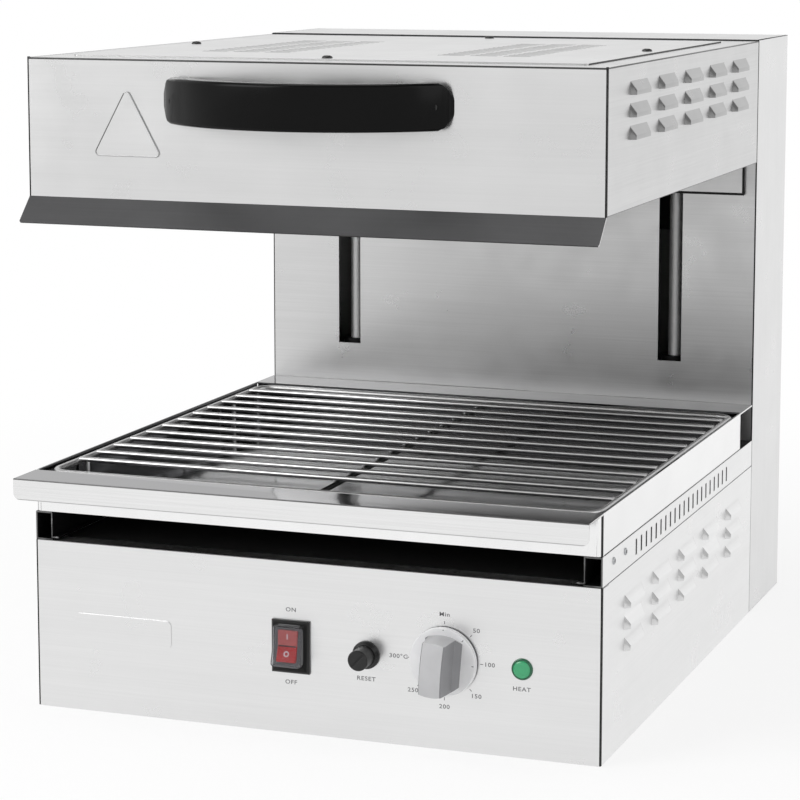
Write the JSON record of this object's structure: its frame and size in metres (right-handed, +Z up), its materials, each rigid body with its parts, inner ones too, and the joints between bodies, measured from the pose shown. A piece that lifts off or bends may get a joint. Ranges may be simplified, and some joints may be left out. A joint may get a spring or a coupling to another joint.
{
  "type": "countertop cheese melter",
  "caption": "Rise-and-fall countertop grill: a control box with a pull-out pan and wire grid under a heated hood that slides on a rear column.",
  "frame": {"origin": "middle of the flat underside that stands on the counter", "axes": "+Z up, +Y from the control panel towards the column at the back, +X to the user's right"},
  "size_m": [0.458, 0.652, 0.502],
  "materials": {
    "brushed_stainless": "horizontally brushed stainless sheet",
    "bright_stainless": "bright annealed stainless sheet, nearly a mirror",
    "zinc_sheet": "dull zinc-plated sheet",
    "dark_sheet": "dark heat-resistant coating, matt",
    "chromed_rod": "bright chrome-plated wire and rod",
    "screw_steel": "plated steel fastener",
    "element_sheath": "heat-tinted metal sheath",
    "fibre_slab": "pressed ceramic fibre",
    "bronze": "sintered bearing bronze",
    "spring_steel": "oiled spring wire",
    "black_gloss": "glossy black moulding",
    "black_moulded": "satin black moulding",
    "grey_knob": "light grey moulding",
    "red_rocker": "red translucent moulding",
    "clear_boot": "clear flexible splash boot",
    "green_lens": "green signal lens",
    "white_moulded": "white moulded terminal strip",
    "black_rubber": "heat-resistant rubber"
  },
  "bodies": {
    "base": {"base_plate": "zinc_sheet", "control_panel": "brushed_stainless", "side_panel_left": "brushed_stainless", "side_panel_right": "brushed_stainless", "deck_plate": "dark_sheet", "runner_left": "brushed_stainless", "runner_right": "brushed_stainless", "runner_screws": "screw_steel", "column_front": "brushed_stainless", "column_side_left": "brushed_stainless", "column_side_right": "brushed_stainless", "column_top": "brushed_stainless", "rear_cover": "brushed_stainless", "rear_cover_screws": "screw_steel", "rod_bracket_lower": "dark_sheet", "rod_bracket_upper": "zinc_sheet", "guide_rod_left": "chromed_rod", "guide_rod_right": "chromed_rod", "stop_buffers": "black_rubber", "lift_spring_left": "spring_steel", "lift_spring_right": "spring_steel", "switch_housing": "black_moulded", "limiter_body": "black_moulded", "limiter_nut": "black_moulded", "thermostat_body": "zinc_sheet", "lamp_holder": "black_moulded", "lamp_bezel": "black_moulded", "lamp_lens": "green_lens", "cable_gland": "black_moulded", "terminal_block": "white_moulded"},
    "hood": {"hood_front": "brushed_stainless", "hood_side_left": "brushed_stainless", "hood_side_right": "brushed_stainless", "hood_rear": "zinc_sheet", "hood_back_shield": "brushed_stainless", "hood_cover": "brushed_stainless", "hood_cover_screws": "screw_steel", "reflector": "bright_stainless", "hood_insulation": "fibre_slab", "heating_element_1": "element_sheath", "heating_element_2": "element_sheath", "heating_element_3": "element_sheath", "heating_element_4": "element_sheath", "element_rails": "bright_stainless", "hood_handle": "black_gloss", "handle_screws": "screw_steel", "slide_block_left": "zinc_sheet", "slide_block_right": "zinc_sheet", "rod_bushings": "bronze", "arm_bolts": "screw_steel", "carriage_bar": "zinc_sheet"},
    "pan": {"drip_pan": "bright_stainless"},
    "grid": {"grid_frame": "chromed_rod", "grid_cross_rods": "chromed_rod"},
    "knob": {"control_knob": "grey_knob", "thermostat_shaft": "screw_steel"},
    "rocker": {"switch_rocker": "red_rocker", "switch_boot": "clear_boot"},
    "cap": {"reset_cap": "black_moulded"},
    "button": {"reset_button": "red_rocker"}
  },
  "joints": [
    {"name": "hood_lift", "type": "slide", "parent": "base", "child": "hood", "axis": [0, 0, 1], "range_m": [-0.15, 0], "deforming": ["lift_spring_left", "lift_spring_right"]},
    {"name": "pan_slide", "type": "slide", "parent": "base", "child": "pan", "axis": [0, -1, 0], "range_m": [0, 0.3]},
    {"name": "grid_lift", "type": "slide", "parent": "pan", "child": "grid", "axis": [0, 0, 1], "range_m": [0, 0.15]},
    {"name": "knob_turn", "type": "hinge", "parent": "base", "child": "knob", "pos_m": [0.1065, -0.291, 0.0668], "axis": [0, 1, 0], "range_deg": [0, 270]},
    {"name": "rocker_tip", "type": "hinge", "parent": "base", "child": "rocker", "pos_m": [-0.014, -0.288, 0.0663], "axis": [1, 0, 0], "range_deg": [0, 20]},
    {"name": "cap_draw", "type": "slide", "parent": "base", "child": "cap", "axis": [0, -1, 0], "range_m": [0, 0.02]},
    {"name": "button_press", "type": "slide", "parent": "base", "child": "button", "axis": [0, 1, 0], "range_m": [0, 0.0015], "stiffness_N_per_m": 800}
  ]
}
